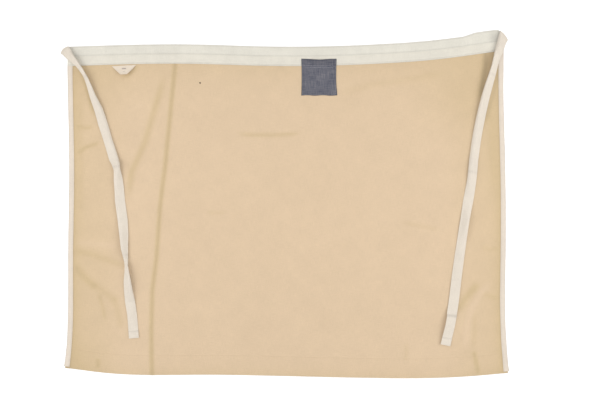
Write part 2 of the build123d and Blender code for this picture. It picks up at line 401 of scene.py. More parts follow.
def wrinkles(x, y):
    """How far the creases and the unevenness of the cloth lift it off the floor."""
    height = np.zeros(np.shape(x))
    for route, half_width, rise, power, _ in WRINKLES_AND_PAINTED_SHADOWS:
        height += rise * MM * along_wrinkle(x, y, route, half_width, power)
    swell = 0.55 + 0.45 * drift(x, y, size=0.19, seed=3.1)
    ripple = 0.22 + 0.22 * drift(x, y, size=0.045, seed=7.7)
    fine = 0.07 + 0.07 * drift(x, y, size=0.016, seed=1.3)
    return height + (swell + ripple + fine) * MM


def painted_shade_along_routes(x, y):
    """1 on plain cloth, less where painted shade darkens it along creases and in painted shadows beside the
    ties and the label, and more along painted highlights.
    """
    shade = np.ones(np.shape(x))
    for route, half_width, _, _, darker in WRINKLES_AND_PAINTED_SHADOWS:
        shade -= darker * along_wrinkle(x, y, route, max(half_width, SHADE_WIDTH), 2)
    return shade


def seam_puckers(x, y):
    """Short ripples where the stitching draws the cloth in, along the waistband and the two sides."""
    from_band = np.abs(band_edge(x) - y)
    from_binding = np.abs(from_sides(x, y) - BINDING_WIDTH)
    across = drift(x, y * 0.25, size=0.016, seed=5.5) * fade(from_band, 22 * MM)
    along = drift(x * 0.25, y, size=0.018, seed=8.5) * fade(from_binding, 18 * MM)
    return (across + along + 1) * 0.3 * MM


def lie(x, y):
    """The height of the middle of the lowest layer of cloth."""
    in_band = ease(y - band_edge(x), -6 * MM, 6 * MM)
    return 0.5 * CLOTH + GAP + wrinkles(x, y) * (1 - 0.55 * in_band) + seam_puckers(x, y)


def hem_plies(x, y):
    """1 where the hem lies under the panel, else 0."""
    return ease(hem_y(x) + HEM_DEPTH - y, -1.5 * MM, 1.5 * MM)


def band_plies(x, y):
    """1 inside the waistband, else 0."""
    return ease(y - band_edge(x), -2 * MM, 1 * MM)


def binding_plies(x, y):
    """1 inside a side binding, else 0; it ends a little inside the waistband."""
    inside = 1 - ease(from_sides(x, y) - BINDING_WIDTH, -0.5 * MM, 2.5 * MM)
    return inside * (1 - ease(y - band_edge(x), 5 * MM, 14 * MM))


def panel_middle(x, y):
    """The height of the middle of the panel's cloth."""
    return lie(x, y) + PLY * (hem_plies(x, y) + band_plies(x, y) + binding_plies(x, y))


def binding_front(x, y):
    """The height of the middle of a binding's front layer."""
    return lie(x, y) + PLY * (hem_plies(x, y) + 2)


def band_front(x, y):
    """The height of the middle of the waistband's front layer, thicker where its lower edge is turned in."""
    turned = 1 - ease(y - band_edge(x), 7 * MM, 11 * MM)
    return lie(x, y) + PLY * (2 + 1.2 * binding_plies(x, y) + 0.6 * turned)


def upper_surface(x, y):
    """The height of the top of whatever lies highest on the apron: cloth, binding, waistband or tape."""
    band = band_plies(x, y)
    tape = ease(y - waist_y(x) - BAND_HALF + TAPE_WIDTH, -2 * MM, 0)
    binding = binding_plies(x, y) * (1 - band)
    top = panel_middle(x, y) * (1 - band) + band_front(x, y) * band
    return top + CLOTH / 2 + binding * PLY + tape * TAPE


# ---------------------------------------------------------------- materials

RELIEF = 0.12 * MM  # how deep a weave is
SLUB = 0.16  # how uneven the yarns are in tone
FLECK = (-0.203, 0.292, 2 * MM)
FLECK_RADIUS = 1.9 * MM
MOST_YELLOW = 0.27


class Recipe:
    """Adds and joins the nodes of one material."""

    def __init__(self, name, roughness, sheen=0.0):
        self.material = bpy.data.materials.new(name)
        self.material.use_nodes = True
        self.tree = self.material.node_tree
        self.shader = self.tree.nodes["Principled BSDF"]
        self.shader.inputs["Roughness"].default_value = roughness
        self.shader.inputs["Specular IOR Level"].default_value = 0.25
        self.shader.inputs["Sheen Weight"].default_value = sheen

    def put(self, socket, value):
        if isinstance(value, bpy.types.NodeSocket):
            self.tree.links.new(value, socket)
        else:
            socket.default_value = value

    def add(self, kind, output, settings=None, **inputs):
        """One node: its settings, its inputs by name, and the output to read."""
        node = self.tree.nodes.new(kind)
        for key, value in (settings or {}).items():
            setattr(node, key, value)
        for key, value in inputs.items():
            self.put(node.inputs[key.replace("_", " ")], value)
        return node.outputs[output]

    def math(self, operation, first, second=0.0):
        node = self.tree.nodes.new("ShaderNodeMath")
        node.operation = operation
        self.put(node.inputs[0], first)
        self.put(node.inputs[1], second)
        return node.outputs[0]

    def scaled(self, place, scale, turn=0.0):
        """A place stretched by scale, after a turn in degrees."""
        turned = self.add("ShaderNodeMapping", "Vector", Vector=place, Rotation=(0, 0, math.radians(turn)))
        return self.add("ShaderNodeMapping", "Vector", Vector=turned, Scale=scale)

    def bands(self, place, period, turn=0.0):
        """Even bands across x, 0 to 1, with that period in metres."""
        turned = self.scaled(place, (1 / period, 1, 1), turn)
        x = self.add("ShaderNodeSeparateXYZ", "X", Vector=turned)
        wave = self.math("SINE", self.math("MULTIPLY", x, 2 * math.pi))
        return self.math("ADD", self.math("MULTIPLY", wave, 0.5), 0.5)

    def noise(self, place, scale, detail=2.0):
        """Noise about 0, with a scale for each axis, in features a metre."""
        stretched = self.scaled(place, scale)
        value = self.add("ShaderNodeTexNoise", "Fac", Vector=stretched, Scale=1.0, Detail=detail)
        return self.math("SUBTRACT", value, 0.5)

    def total(self, *parts):
        """A sum of values, each times its own weight."""
        whole = 1.0
        for value, weight in parts:
            whole = self.math("ADD", self.math("MULTIPLY", value, weight), whole)
        return whole

    def mix(self, share, first, second):
        node = self.tree.nodes.new("ShaderNodeMix")
        node.data_type = "RGBA"
        self.put(node.inputs[0], share)
        self.put(node.inputs[6], first)
        self.put(node.inputs[7], second)
        return node.outputs[2]

    def tint(self, colour, amount):
        """A colour made lighter or darker by an amount about 1."""
        node = self.tree.nodes.new("ShaderNodeVectorMath")
        node.operation = "SCALE"
        self.put(node.inputs[0], colour[:3] if isinstance(colour, tuple) else colour)
        self.put(node.inputs["Scale"], amount)
        return node.outputs[0]

    def finish(self, colour, height, depth):
        """The base colour, and a relief of that depth in metres."""
        self.put(self.shader.inputs["Base Color"], colour)
        normal = self.add("ShaderNodeBump", "Normal", Strength=1.0, Distance=depth, Height=height)
        self.put(self.shader.inputs["Normal"], normal)
        return self.material


def weave_rib(recipe, place, weave, pitch):
    """The yarns of a weave as bands from 0 to 1: twill, herringbone or plain."""
    if weave == "twill":
        return recipe.bands(place, pitch, turn=-32)
    if weave == "herringbone":
        up = recipe.add("ShaderNodeSeparateXYZ", "Y", Vector=place)
        along = recipe.add("ShaderNodeSeparateXYZ", "X", Vector=place)
        x = recipe.math("ADD", along, recipe.math("PINGPONG", up, 2 * MM))
        wave = recipe.math("SINE", recipe.math("MULTIPLY", x, 2 * math.pi / pitch))
        return recipe.math("ADD", recipe.math("MULTIPLY", wave, 0.5), 0.5)
    return recipe.math("MULTIPLY", recipe.bands(place, pitch), recipe.bands(place, pitch, turn=90))


def woven(name, colour, pitch, weave="plain", mottle=0.13, fleck=None, shade_warmth=0.0):
    """Cotton cloth: its weave and its uneven yarns follow the piece's own map, in metres.

    fleck is the place of one dark speck, and the warmth given says how much yellower the cloth's painted
    shade is."""
    recipe = Recipe(name, 0.9, sheen=0.08)
    place = recipe.add("ShaderNodeTexCoord", "UV")
    room = recipe.add("ShaderNodeTexCoord", "Object")
    rib = weave_rib(recipe, place, weave, pitch)
    along_yarn = recipe.noise(place, (60, 1100, 1))
    across_yarn = recipe.noise(place, (1100, 60, 1))
    patches = recipe.noise(room, (26, 26, 26), detail=4.0)
    clouds = recipe.noise(room, (7, 7, 7), detail=2.0)
    # shade is painted shade, read from each piece's points
    shade = recipe.add("ShaderNodeAttribute", "Fac", {"attribute_name": "shade"})
    amount = recipe.total(
        (rib, 0.10), (along_yarn, SLUB), (across_yarn, SLUB), (patches, mottle), (clouds, mottle * 0.6)
    )
    amount = recipe.math("MULTIPLY", amount, shade)
    if fleck:
        beside = recipe.add("ShaderNodeVectorMath", "Value", {"operation": "DISTANCE"}, Vector=room)
        beside.node.inputs[1].default_value = fleck
        amount = recipe.math("MULTIPLY", amount, recipe.math("GREATER_THAN", beside, FLECK_RADIUS))
    height = recipe.total((rib, 1.0), (along_yarn, 1.2), (across_yarn, 1.2))
    # Painted shade is tinted yellower as it deepens
    shade_yellowing = recipe.math("MULTIPLY", recipe.math("SUBTRACT", 1.0, shade), shade_warmth)
    shade_yellowing = recipe.math("MINIMUM", recipe.math("MAXIMUM", shade_yellowing, 0.0), MOST_YELLOW)
    yellower = (colour[0], colour[1], colour[2] * 0.6, 1)
    return recipe.finish(recipe.tint(recipe.mix(shade_yellowing, (*colour, 1), yellower), amount), height, RELIEF)


def chambray(name, blue, pale):
    """Blue warp and pale weft, with thick and thin yarns that show as fine streaks both ways."""
    recipe = Recipe(name, 0.88, sheen=0.08)
    place = recipe.add("ShaderNodeTexCoord", "UV")
    room = recipe.add("ShaderNodeTexCoord", "Object")
    check = recipe.math("MULTIPLY", recipe.bands(place, 0.8 * MM), recipe.bands(place, 0.8 * MM, turn=90))
    down = recipe.noise(place, (900, 40, 1), detail=3.0)
    across = recipe.noise(place, (40, 900, 1), detail=3.0)
    patches = recipe.noise(room, (60, 60, 60), detail=4.0)
    share = recipe.total((check, 0.5), (down, 1.1), (across, 1.1), (patches, 0.22))
    share = recipe.math("SUBTRACT", share, 0.83)
    share = recipe.math("MAXIMUM", recipe.math("MINIMUM", share, 1.0), 0.0)
    colour = recipe.mix(share, (*blue, 1), (*pale, 1))
    # shade is painted shade, read from each piece's points
    shade = recipe.add("ShaderNodeAttribute", "Fac", {"attribute_name": "shade"})
    height = recipe.total((check, 1.0), (down, 1.5), (across, 1.5))
    return recipe.finish(recipe.tint(colour, shade), height, RELIEF)


def thread(name, colour):
    """Cotton sewing thread: fine twisted strands and a slight change of tone."""
    recipe = Recipe(name, 0.7, sheen=0.1)
    room = recipe.add("ShaderNodeTexCoord", "Object")
    strands = recipe.bands(room, 0.45 * MM, turn=35)
    tone = recipe.noise(room, (300, 300, 300))
    amount = recipe.total((strands, 0.12), (tone, 0.15))
    return recipe.finish(recipe.tint(colour, amount), strands, 0.05 * MM)


TAN = (0.606, 0.462, 0.313)
CREAM = (0.66, 0.625, 0.545)
# The ties and the waist tape are one tape, given two slightly different colours
TAPE_CREAM = (0.65, 0.585, 0.50)
BAND_TAPE_CREAM = (0.636, 0.609, 0.536)
BINDING_CREAM = (0.66, 0.58, 0.49)
LABEL_CREAM = (0.675, 0.585, 0.48)
CHAMBRAY_BLUE = (0.060, 0.065, 0.094)
CHAMBRAY_PALE = (0.262, 0.25, 0.262)

TWILL = woven("tan_twill", TAN, 0.9 * MM, "twill", mottle=0.10, fleck=FLECK, shade_warmth=2.2)
BAND_COTTON = woven("cream_cotton", CREAM, 0.7 * MM, mottle=0.20)
WOVEN_TAPE = woven("cream_tape", TAPE_CREAM, 1.1 * MM, "herringbone", mottle=0.14)
BAND_TAPE = woven("cream_tape", BAND_TAPE_CREAM, 1.1 * MM, "herringbone", mottle=0.22)
BINDING_COTTON = woven("cream_binding", BINDING_CREAM, 0.7 * MM, mottle=0.14)
CHAMBRAY = chambray("blue_chambray", CHAMBRAY_BLUE, CHAMBRAY_PALE)
CREAM_THREAD = thread("cream_thread", (0.48, 0.44, 0.38))
TAN_THREAD = thread("tan_thread", (0.47, 0.35, 0.24))
BLUE_THREAD = thread("blue_thread", (0.42, 0.43, 0.46))


# ---------------------------------------------------------------- making cloth


def grid_mesh(name, grid, flat, shade=1.0):
    """A sheet of quads through a grid of points, with its flat map in metres and its painted shade."""
    rows, columns = grid.shape[:2]
    corner = np.arange(rows * columns).reshape(rows, columns)
    faces = np.stack([corner[:-1, :-1], corner[:-1, 1:], corner[1:, 1:], corner[1:, :-1]], axis=-1)
    mesh = bpy.data.meshes.new(name)
    mesh.from_pydata(grid.reshape(-1, 3).tolist(), [], faces.reshape(-1, 4).tolist())
    layer = mesh.uv_layers.new(name="flat")
    loops = np.empty(len(mesh.loops), int)
    mesh.loops.foreach_get("vertex_index", loops)
    layer.data.foreach_set("uv", flat.reshape(-1, 2)[loops].ravel())
    tone = mesh.attributes.new("shade", "FLOAT", "POINT")
    tone.data.foreach_set("value", np.broadcast_to(shade, (rows, columns)).astype(np.float32).ravel())
    thing = bpy.data.objects.new(name, mesh)
    bpy.context.scene.collection.objects.link(thing)
    return thing


def only(thing):
    """Select one object and make it active."""
    bpy.ops.object.select_all(action="DESELECT")
    thing.select_set(True)
    bpy.context.view_layer.objects.active = thing


def thicken(thing, thickness):
    """Give a sheet its thickness, half to each side, and smooth it."""
    only(thing)
    solid = thing.modifiers.new("thickness", "SOLIDIFY")
    solid.thickness = thickness
    solid.offset = 0
    solid.use_even_offset = False
    bpy.ops.object.modifier_apply(modifier=solid.name)
    bpy.ops.object.shade_smooth_by_angle(angle=math.radians(50))


def stand_for(thing, material, node, body):
    """A finished piece takes its material, and stands for a CAD node on a body."""
    thing.data.materials.append(material)
    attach(thing, body)
    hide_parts(node)


def cloth_piece(name, grid, flat, thickness, material, node, body="apron", shade=1.0):
    """A piece of cloth through a grid of points, which stands for a CAD node."""
    thing = grid_mesh(name, grid, flat, shade)
    thicken(thing, thickness)
    stand_for(thing, material, node, body)
    return thing


# ---------------------------------------------------------------- the panel

CREASE_SHARE = 0.225  # where the pressed crease is, as a share of the width
PANEL_WIDTH = 1050 * MM
PANEL_LENGTH = 0.74  # from the hem's edge to inside the waistband
INSIDE_BAND = 12 * MM  # how far the panel goes up into the waistband
EVEN_BELOW = 0.06  # the rows are even with the hem up to here, and then spread up to the waistband
HEM_BEHIND = [48, 44, 39, 33, 27, 21, 15, 9, 5, 2.5, 1, 0.4]
HEM_AHEAD = [0.4, 1, 2.5, 5, 9, 14, 19, 24, 29, 34, 39, 42.5, 44.6, 46, 47, 48, 49, 50.5, 53, 56.5]


def crease_x(y):
    """Where the pressed crease runs, at a height up the apron."""
    line = np.array(PRESS_CREASE)[::-1]
    return np.interp(y, line[:, 1], line[:, 0])


def panel_columns():
    """Shares of the apron's width, close together beside the crease and the bindings."""
    even = np.linspace(0, 1, 214)
    kept = even[np.abs(even - CREASE_SHARE) > 0.0125]
    beside = np.array([1.2, 2.6, 4.5, 7, 10]) * MM / PANEL_WIDTH
    edges = np.array([9.5, 11, 12.5, 14]) * MM / PANEL_WIDTH
    crease = [[CREASE_SHARE], CREASE_SHARE - beside, CREASE_SHARE + beside]
    return np.sort(np.concatenate([kept, *crease, edges, 1 - edges]))


def panel_place(share, up):
    """A point of the panel: its share of the width, and its distance up from the hem's edge."""
    inset = 1.2 * MM
    y = np.full_like(share, -0.40) + up
    for _ in range(3):
        left, right, middle = left_x(y) + inset, right_x(y) - inset, crease_x(y)
        x = np.where(
            share < CREASE_SHARE,
            left + share / CREASE_SHARE * (middle - left),
            middle + (share - CREASE_SHARE) / (1 - CREASE_SHARE) * (right - middle),
        )
        top = band_edge(x) + INSIDE_BAND - hem_y(x)
        spread = (top - EVEN_BELOW) / (PANEL_LENGTH - EVEN_BELOW)
        y = hem_y(x) + np.where(up < EVEN_BELOW, up, EVEN_BELOW + (up - EVEN_BELOW) * spread)
    return x, y


def panel_shade(x, y):
    """Painted shade on the twill: darker along creases, in painted shadows beside the ties and the label,
    beside the bindings, the waistband and the hem's edge, and in broad patches.
    """
    from_binding = from_sides(x, y) - BINDING_WIDTH
    shade = painted_shade_along_routes(x, y) - 0.11 * fade(from_binding, 13 * MM)
    shade -= 0.035 * (1 - ease(from_binding, 50 * MM, 150 * MM))
    shade -= 0.05 * fade(band_edge(x) - y, 38 * MM)
    shade -= 0.05 * fade(y - hem_y(x), 16 * MM)
    for middle_x, middle_y, reach_x, reach_y, darker in PAINTED_SHADE_PLACES:
        shade -= darker * bell(x - middle_x, reach_x) * bell(y - middle_y, reach_y)
    return shade


def make_panel():
    """The twill panel, with its lower edge turned up behind as the hem."""
    share = panel_columns()
    behind, ahead = np.array(HEM_BEHIND) * MM, np.array(HEM_AHEAD) * MM
    above = np.linspace(0.061, PANEL_LENGTH, 140)
    rows, flats = [], []
    for k, up in enumerate(np.concatenate([behind, [0.0], ahead, above])):
        x, y = panel_place(share, np.full_like(share, up))
        if k < len(behind):
            z = lie(x, y) + PLY * binding_plies(x, y)
        elif k == len(behind):
            z = lie(x, y) + PLY * (binding_plies(x, y) + 0.5)
        else:
            z = panel_middle(x, y) - 0.22 * MM * bell(hem_y(x) + HEM_ROW - y, 1.4 * MM)
        rows.append(np.column_stack([x, y, z]))
        across = up if k >= len(behind) else -up
        flats.append(np.column_stack([x, np.full_like(x, across)]))
    grid = np.array(rows)
    shade = panel_shade(grid[:, :, 0], grid[:, :, 1])
    return cloth_piece("panel", grid, np.array(flats), CLOTH, TWILL, "apron_panel", shade=shade)


# ---------------------------------------------------------------- waistband, tape and bindings


def hump(x):
    """How far the waistband's top edge rises near its right end."""
    return 5.5 * MM * ease(x, 0.425, 0.462) * (1 - 0.55 * ease(x, 0.495, 0.53))


def along_waistband(distance):
    """A line along the waistband, at a distance above its middle."""
    line = set_off(WAIST, distance)
    if distance > 0:
        line[:, 1] += hump(line[:, 0]) * distance / BAND_HALF
    return line


def inside_band_ends(line):
    """How far inside the waistband's ends a line's points are: the apron's sides and the folds."""
    return np.minimum(between_sides(line), inside_both_folds(line) - 0.6 * MM)


def band_line(distance, height, lift):
    """One even line of points along the waistband, from end to end."""
    line = clip_line(along_waistband(distance), inside_band_ends, 232)
    return np.column_stack([line, height(line[:, 0], line[:, 1]) + lift])


def make_waistband():
    """Folded cotton over the panel's top edge, with its front lower edge turned in."""
    top, low = BAND_HALF, -BAND_HALF
    back = [(d * MM, lie, 0.0) for d in (-22, -16, -9, -1, 7, 14, 19, 21.8)]
    fold = [(top - 0.35 * MM, lie, 0.25 * MM), (top, lie, PLY), (top - 0.35 * MM, band_front, -0.25 * MM)]
    front = [(d * MM, band_front, 0.0) for d in (21.8, 19, 15, 10, 5, 1, -2, -5, -8, -11, -13, -15, -17)]
    dips = ((1.4, -0.03), (0, -0.2), (-1.2, -0.03))
    row = [(BAND_ROW + d * MM, band_front, dip * MM) for d, dip in dips]
    turned_in = ((0.6, 0.0), (0, -0.3 * MM), (0.8, -PLY), (4, -PLY))
    edge = [(low + d * MM, band_front, lift) for d, lift in turned_in]
    section = back + fold + front + row + edge
    grid = np.array([band_line(*part) for part in section])
    for column, kept in ((0, 0.55), (1, 0.91), (-2, 0.91), (-1, 0.55)):
        bottom = grid[0, column, 2]
        grid[:, column, 2] = bottom + (grid[:, column, 2] - bottom) * kept
    across = np.concatenate([[0], np.cumsum(np.abs(np.diff([part[0] for part in section])))])
    along = np.linspace(0, 1.06, grid.shape[1])
    flat = np.stack(np.meshgrid(along, across), axis=-1)
    # Painted shade: darker along the top fold, the stitch row and the turned-in lower edge
    shade = np.ones(grid.shape[:2])
    shade[len(back) : len(back) + len(fold)] = 0.55
    shade[len(back + fold + front) + 1] = 0.90
    shade[-4:-1] = 0.86
    return cloth_piece("waistband_cotton", grid, flat, CLOTH, BAND_COTTON, "waistband", shade=shade)


def tape_height(x, y):
    """The height of the middle of the tape on the waistband."""
    return band_front(x, y) + CLOTH / 2 + TAPE / 2 + GAP


def corner_shade(x, y):
    """How much a painted shadow darkens the tape beside the fold at its right end."""
    return 0.17 * bell(x - 0.501, 12 * MM) * bell(y - 0.400, 15 * MM)


def make_waist_tape():
    """The woven tape along the top of the waistband, from one fold to the other."""
    steps = np.array([0, 0.8, 2, 3.2, 6, 9, 12, 15, 18, 20.8, 22, 23.2, 24]) * MM
    rows = []
    for step in steps:
        line = set_off(WAIST, BAND_HALF - step)
        line[:, 1] += hump(line[:, 0]) * (1 - step / TAPE_WIDTH)
        line = clip_line(line, inside_both_folds, 236)
        z = tape_height(line[:, 0], line[:, 1])
        for row in TAPE_ROWS:
            z -= 0.16 * MM * bell(step - row, 1 * MM)
        rows.append(np.column_stack([line, z]))
    grid = np.array(rows[::-1])
    grid[:, :, 1] += gather(grid[:, :, 0], grid[:, :, 1])
    flat = np.stack([grid[:, :, 0], np.broadcast_to(steps[:, None], grid.shape[:2])], axis=-1)
    down = np.broadcast_to(steps[::-1, None], grid.shape[:2])
    # Painted shade: a dark line along the tape's top edge, a painted shadow beside the right fold, and darker
    # stitch rows
    shade = 1 - 0.28 * (down < 0.5 * MM) - corner_shade(grid[:, :, 0], grid[:, :, 1])
    for row, reach in zip(TAPE_ROWS, (1 * MM, 1.2 * MM)):
        shade -= 0.09 * bell(down - row, reach)
    return cloth_piece("tape_on_waistband", grid, flat, TAPE, BAND_TAPE, "waist_tape", shade=shade)


def between_hem_and_tuck(line):
    """How far above the hem's edge and below a binding's end inside the waistband a line's points are."""
    return between_hem_and_band(line - [0, 4 * MM])


def make_binding(name, side, inward, node):
    """A strip of cotton folded over one side of the panel, from the hem up into the waistband."""
    line = clip_line(side, between_hem_and_tuck, 175)
    flare = 1.6 * MM * fade(line[:, 1] - line[:, 1].min(), 9 * MM)
    wander = drift(line[:, 0] * 0, line[:, 1], size=0.05, seed=2.2 + inward) * 0.5 * MM
    normals = left_normals(line)
    width = BINDING_WIDTH
    back = [(width, 0, 0), (width - 3 * MM, 0, 0), (width / 2, 0, 0), (1.6 * MM, 0, 0)]
    fold = [(0.5 * MM, 0, 0.15 * MM), (0, 0, 0.6 * MM), (0.05 * MM, 1, -0.35 * MM), (0.5 * MM, 1, -0.08 * MM)]
    front = [(d * MM, 1, 0) for d in (1.6, 3.5, 5.5, 7.5)] + [(8.6 * MM, 1, -0.02 * MM)]
    seam = [(BINDING_ROW, 1, -0.17 * MM), (10.4 * MM, 1, 0)]
    seam += [(width - 0.2 * MM, 1, 0.05 * MM), (width, 1, -0.2 * MM)]
    rows, across = [], []
    section = back + fold + front + seam
    for distance, ahead, lift in section:
        out = (flare + wander) * max(0, 1 - distance / (6 * MM))
        uneven = wander * 0.8 * (distance > 8 * MM)
        place = line + normals * (inward * (distance - out + uneven))[:, None]
        height = binding_front if ahead else lie
        rows.append(np.column_stack([place, height(place[:, 0], place[:, 1]) + lift]))
        across.append(distance if ahead else -distance)
    grid = np.array(rows)
    flat = np.stack(np.meshgrid(lengths(line), across), axis=-1)
    # Painted shade: darker around the outer fold and along the stitch row
    shade = np.ones(grid.shape[:2])
    shade[len(back) : len(back) + len(fold)] = np.array([0.80, 0.66, 0.66, 0.84])[:, None]
    shade[-4] = 0.90
    return cloth_piece(name, grid, flat, CLOTH, BINDING_COTTON, node, shade=shade)


# ---------------------------------------------------------------- pocket and label

POCKET_WIDTH = 84 * MM
POCKET_HEIGHT = 87.5 * MM
POCKET_X = 82 * MM
POCKET_TOP = 349.5 * MM
POCKET_TURNED = 7 * MM
MOUTH_GAPE = 3.2 * MM
MOUTH_SAG = 2.4 * MM


def pocket_height(x, y):
    """The height of the middle of the pocket's front cloth."""
    across = (x - POCKET_X) / (POCKET_WIDTH / 2)
    drop = (POCKET_TOP - y) / POCKET_HEIGHT
    arch = np.cos(np.clip(across / 0.9, -1, 1) * math.pi / 2) ** 2
    open_part = arch * (1 - ease(drop, 0.0, 0.85))
    from_edge = np.minimum(POCKET_WIDTH / 2 - np.abs(x - POCKET_X), y - POCKET_TOP + POCKET_HEIGHT)
    turned = 1 - ease(from_edge, POCKET_TURNED - 1 * MM, POCKET_TURNED + 1.5 * MM)
    uneven = 0.25 * MM * drift(x, y, size=0.018, seed=4.4)
    return upper_surface(x, y) + CLOTH / 2 + 0.1 * MM + PLY * turned + MOUTH_GAPE * open_part + uneven


def pocket_rows_and_columns():
    """Where the pocket's cloth runs, across and down, with its turned edges, and 1 where it is behind."""
    half = POCKET_WIDTH / 2
    turn = np.array([6.5, 4.5, 2.5, 1, 0.3]) * MM
    inner = np.linspace(-half + 1.2 * MM, half - 1.2 * MM, 44)
    left = [-half + turn, [-half], [-half + 0.4 * MM]]
    right = [[half - 0.4 * MM], [half], half - turn[::-1]]
    columns = np.concatenate([*left, inner, *right])
    behind_x = [1] * 5 + [0.5] + [0] * 46 + [0.5] + [1] * 5
    mouth = np.array([22, 16, 10, 5, 2, 0.6]) * MM
    down = np.linspace(1.4 * MM, POCKET_HEIGHT - 1.2 * MM, 42)
    foot = np.concatenate([[POCKET_HEIGHT - 0.4 * MM, POCKET_HEIGHT], POCKET_HEIGHT - turn[::-1]])
    rows = np.concatenate([mouth, [0.0], [0.5 * MM], down, foot])
    behind_y = [1] * 6 + [0.5] + [0] * 44 + [0.5] + [1] * 5
    return (*np.meshgrid(columns, rows), np.maximum(*np.meshgrid(behind_x, behind_y)))


def make_pocket():
    """The chambray patch: three edges turned under, the mouth hemmed and a little open."""
    columns, drop, behind = pocket_rows_and_columns()
    half = POCKET_WIDTH / 2
    x, y = POCKET_X + columns, POCKET_TOP - drop
    across = (x - POCKET_X) / half
    side_bow = 0.8 * MM * np.sin(drop / POCKET_HEIGHT * math.pi) * across
    side_bow -= 1.6 * MM * ease(across, 0.6, 1) * ease(drop, 0.6 * POCKET_HEIGHT, POCKET_HEIGHT)
    sag = np.cos(np.clip(across / 0.8, -1, 1) * math.pi / 2) ** 2
    y = y - MOUTH_SAG * sag * (1 - ease(drop, 0, 0.6 * POCKET_HEIGHT))
    y = y + 0.6 * MM * np.sin(across * 7) * ease(drop, 0.8 * POCKET_HEIGHT, POCKET_HEIGHT)
    z = pocket_height(x, y) - PLY * behind
    for row in MOUTH_ROWS:
        z -= 0.15 * MM * bell(drop - row, 1.2 * MM) * (behind < 0.5)
    grid = np.stack([x - side_bow, y, z], axis=-1)[::-1]
    flat = np.stack([x + behind * 0.2, y + behind * 0.2], axis=-1)[::-1]
    from_edge = np.minimum(half - np.abs(x - POCKET_X), np.minimum(drop, POCKET_HEIGHT - drop))
    # Painted shade: darker along the turned edges and across the hemmed mouth
    shade = 1 - 0.30 * fade(from_edge, 2.4 * MM) - 0.10 * (drop < 14 * MM)
    return cloth_piece("patch_pocket", grid, flat, CLOTH, CHAMBRAY, "pocket", shade=shade[::-1])


LABEL_X = -385.5 * MM
LABEL_Y = 333.3 * MM
LABEL_DROP = 22 * MM
LABEL_TILT = math.radians(3)
LABEL_HALF_TOP, LABEL_HALF_FOOT = 29 * MM, 7.5 * MM
LABEL_CLOTH = 0.4 * MM

# The label's woven bars: middle below its seam, half width, half height, and how dark
LABEL_BARS = [(-7.5 * MM, 5 * MM, 1.7 * MM, 0.5), (-15 * MM, 2.5 * MM, 1 * MM, 0.25)]


def label_cotton():
    """Off-white label tape with a plain woven bar and a shorter one under it."""
    recipe = Recipe("label_cotton", 0.8, sheen=0.08)
    place = recipe.add("ShaderNodeTexCoord", "UV")
    room = recipe.add("ShaderNodeTexCoord", "Object")
    rib = recipe.bands(place, 0.7 * MM)
    split = recipe.tree.nodes.new("ShaderNodeSeparateXYZ")
    recipe.put(split.inputs[0], place)
    marks = 0.0
    for middle, half_width, half_height, dark in LABEL_BARS:
        aside = recipe.math("ABSOLUTE", split.outputs["X"])
        away = recipe.math("ABSOLUTE", recipe.math("SUBTRACT", split.outputs["Y"], middle))
        inside = recipe.math("LESS_THAN", aside, half_width)
        mark = recipe.math("MULTIPLY", inside, recipe.math("LESS_THAN", away, half_height))
        marks = recipe.math("MAXIMUM", recipe.math("MULTIPLY", mark, dark), marks)
    tone = recipe.noise(room, (200, 200, 200))
    colour = recipe.mix(marks, (*LABEL_CREAM, 1), (0.13, 0.10, 0.12, 1))
    amount = recipe.total((rib, 0.06), (tone, 0.10))
    return recipe.finish(recipe.tint(colour, amount), rib, 0.08 * MM)


def make_label():
    """A short tape under the waistband, both lower corners turned under into a blunt point."""
    shares = [-0.86, -0.97, -1.0, *np.linspace(-0.985, 0.985, 27), 1.0, 0.97, 0.86]
    behind = np.array([1, 1, 0.5] + [0] * 27 + [0.5, 1, 1])
    drops = [0.0, *np.linspace(0.04, 0.97, 13), 1.0]
    share, drop = np.meshgrid(shares, drops)
    half = LABEL_HALF_TOP + (LABEL_HALF_FOOT - LABEL_HALF_TOP) * drop
    x, y = share * half, -drop * LABEL_DROP - 0.5 * MM * (np.abs(share) < 0.99) * np.sin(drop * math.pi)
    c, s = math.cos(LABEL_TILT), math.sin(LABEL_TILT)
    place_x, place_y = LABEL_X + c * x - s * y, LABEL_Y + s * x + c * y
    rise = 7.5 * MM * drop**1.5 + 0.2 * MM
    z = panel_middle(place_x, place_y) + CLOTH + 0.15 * MM + PLY + rise - PLY * 0.85 * behind
    grid = np.stack([place_x, place_y, z], axis=-1)[::-1]
    flat = np.stack([x, y], axis=-1)[::-1]
    return cloth_piece("label_tape", grid, flat, LABEL_CLOTH, label_cotton(), "label", body="label_tab")


# ---------------------------------------------------------------- ties


def route_points(name, route, count):
    """Even points along the smooth curve that a tie's route makes."""
    curve = bpy.data.curves.new(name, "CURVE")
    curve.dimensions = "3D"
    curve.resolution_u = 40
    spline = curve.splines.new("NURBS")
    spline.points.add(len(route) - 1)
    for point, (x, y) in zip(spline.points, route):
        point.co = (x, y, 0, 1)
    spline.order_u = 3
    spline.use_endpoint_u = True
    thing = bpy.data.objects.new(name, curve)
    bpy.context.scene.collection.objects.link(thing)
    mesh = bpy.data.meshes.new_from_object(thing)
    line = np.array([vertex.co[:2] for vertex in mesh.vertices])
    bpy.data.objects.remove(thing)
    bpy.data.meshes.remove(mesh)
    return resample(line, count)


ARCHED_SHARE = 0.85  # a tape arches down to this share of its width, and then an edge turns under
FLAP_RADIUS, FLAP_RISE = 0.9 * MM, 1.3 * MM
TIE_POINTS = 31  # across a tie
FOLD_SPREAD = 1.38  # how much wider a tie's start lies along its slanting fold
TURNS_OVER = 26 * MM  # the length over which a tie turns from its fold to its route
FLAT_START = 10 * MM
RIPPLE, RIPPLE_LENGTH = 0.35 * MM, 23 * MM


